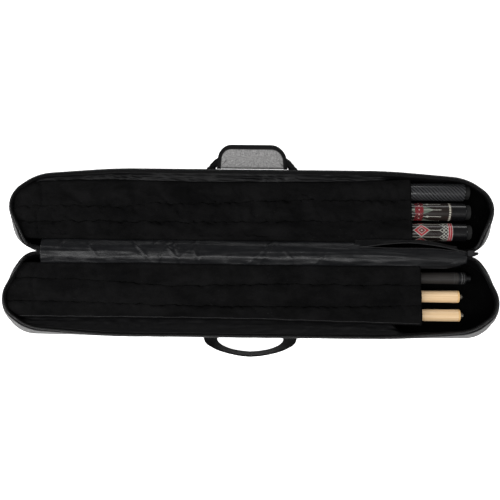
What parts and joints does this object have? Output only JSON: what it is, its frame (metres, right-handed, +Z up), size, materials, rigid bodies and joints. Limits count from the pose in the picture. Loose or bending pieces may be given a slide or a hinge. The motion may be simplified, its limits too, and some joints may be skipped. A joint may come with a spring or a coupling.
{
  "type": "soft cue case",
  "caption": "Soft zip-around clamshell cue case lying open, with padded sleeves holding cue butts in the lid half and cue shafts in the base half, and a carry handle on each long side.",
  "frame": {"origin": "under the middle of the fabric hinge, on the surface that the open case lies on, which is the bottom centre of the open case", "axes": "+X along the case towards the sleeve mouths, +Y across to the lid half, +Z up from the surface that the case lies on"},
  "size_m": [0.8778, 0.3771, 0.059],
  "materials": {
    "shell_fabric": "heather weave",
    "binding": "folded binding",
    "satin_lining": "smooth satin",
    "velour": "brushed pile",
    "zip_tape": "woven tape",
    "zip_coil": "coil",
    "webbing": "woven webbing",
    "satin_piping": "smooth piping",
    "foam": "foam under cloth",
    "handle_cover": "heather weave with dark edge",
    "hook_and_loop": "hook and loop",
    "slider_metal": "satin black",
    "pull_tab": "satin black",
    "carbon_weave": "woven carbon under lacquer",
    "spear_inlay": "lacquered with inlays",
    "diamond_inlay": "lacquered with inlays",
    "butt_cap": "polished",
    "bumper": "matt",
    "joint_pin": "turned",
    "carbon_shaft": "matt carbon",
    "maple": "satin lacquer",
    "joint_protector": "turned",
    "joint_stub": "turned",
    "ferrule": "polished"
  },
  "bodies": {
    "base": {"base_outer_panel": "shell_fabric", "base_panel_piping": "binding", "base_side_wall": "shell_fabric", "base_wall_lining": "satin_lining", "base_floor_lining": "velour", "base_zip_tape": "zip_tape", "base_zip_chain": "zip_coil", "base_zip_end_stops": "zip_tape", "base_hinge_leaf": "webbing", "base_spine_lining": "satin_lining", "base_sleeve_backing": "velour", "base_sleeve_dividers": "velour", "base_sleeve_covers": "velour", "base_sleeve_piping": "satin_piping", "base_handle_patches": "webbing", "base_spine_pad": "foam", "zip_slider": "slider_metal"},
    "lid": {"lid_outer_panel": "shell_fabric", "lid_panel_piping": "binding", "lid_side_wall": "shell_fabric", "lid_wall_lining": "satin_lining", "lid_floor_lining": "velour", "lid_zip_tape": "zip_tape", "lid_zip_chain": "zip_coil", "lid_zip_end_stops": "zip_tape", "lid_hinge_leaf": "webbing", "lid_spine_lining": "satin_lining", "lid_sleeve_backing": "velour", "lid_sleeve_dividers": "velour", "lid_sleeve_covers": "velour", "lid_sleeve_piping": "satin_piping", "lid_handle_patches": "webbing"},
    "near_handle": {"near_handle_strap": "webbing"},
    "far_handle": {"far_handle_strap": "webbing", "handle_wrap_upper": "handle_cover", "handle_wrap_fastener": "hook_and_loop"},
    "wrap_leaf": {"handle_wrap_lower": "handle_cover"},
    "pull": {"zip_pull": "pull_tab"},
    "butt_1": {"butt_1_body": "carbon_weave", "butt_1_cap": "butt_cap", "butt_1_bumper": "bumper", "butt_1_joint_pin": "joint_pin"},
    "shaft_1": {"shaft_1_wood": "carbon_shaft", "shaft_1_joint_end": "joint_protector", "shaft_1_ferrule_and_tip": "ferrule"},
    "butt_2": {"butt_2_body": "spear_inlay", "butt_2_cap": "butt_cap", "butt_2_bumper": "bumper", "butt_2_joint_pin": "joint_pin"},
    "shaft_2": {"shaft_2_wood": "maple", "shaft_2_joint_end": "joint_stub", "shaft_2_ferrule_and_tip": "ferrule"},
    "butt_3": {"butt_3_body": "diamond_inlay", "butt_3_cap": "butt_cap", "butt_3_bumper": "bumper", "butt_3_joint_pin": "joint_pin"},
    "shaft_3": {"shaft_3_wood": "maple", "shaft_3_joint_end": "joint_stub", "shaft_3_ferrule_and_tip": "ferrule"}
  },
  "joints": [
    {"name": "lid_hinge", "type": "hinge", "parent": "base", "child": "lid", "pos_m": [0, 0, 0.05], "axis": [1, 0, 0], "range_deg": [0, 180]},
    {"name": "near_handle_swing", "type": "hinge", "parent": "base", "child": "near_handle", "pos_m": [0, -0.14718, 0.0131], "axis": [-1, 0, 0], "range_deg": [0, 30]},
    {"name": "far_handle_swing", "type": "hinge", "parent": "lid", "child": "far_handle", "pos_m": [0, 0.1487, 0.031], "axis": [1, 0, 0], "range_deg": [-30, 0]},
    {"name": "handle_wrap_fold", "type": "hinge", "parent": "far_handle", "child": "wrap_leaf", "pos_m": [0, 0.15729, 0.03411], "axis": [-1, 0, 0], "range_deg": [0, 80]},
    {"name": "pull_swing", "type": "hinge", "parent": "base", "child": "pull", "pos_m": [0.39, 0, 0.05], "axis": [0, -1, 0], "range_deg": [0, 100]},
    {"name": "butt_1_slide", "type": "slide", "parent": "lid", "child": "butt_1", "axis": [1, 0, 0], "range_m": [-0.02, 0.001]},
    {"name": "butt_2_slide", "type": "slide", "parent": "lid", "child": "butt_2", "axis": [1, 0, 0], "range_m": [-0.02, 0.012]},
    {"name": "butt_3_slide", "type": "slide", "parent": "lid", "child": "butt_3", "axis": [1, 0, 0], "range_m": [-0.02, 0.012]},
    {"name": "shaft_1_slide", "type": "slide", "parent": "base", "child": "shaft_1", "axis": [1, 0, 0], "range_m": [-0.02, 0.012]},
    {"name": "shaft_2_slide", "type": "slide", "parent": "base", "child": "shaft_2", "axis": [1, 0, 0], "range_m": [-0.02, 0.012]},
    {"name": "shaft_3_slide", "type": "slide", "parent": "base", "child": "shaft_3", "axis": [1, 0, 0], "range_m": [-0.02, 0.012]}
  ]
}
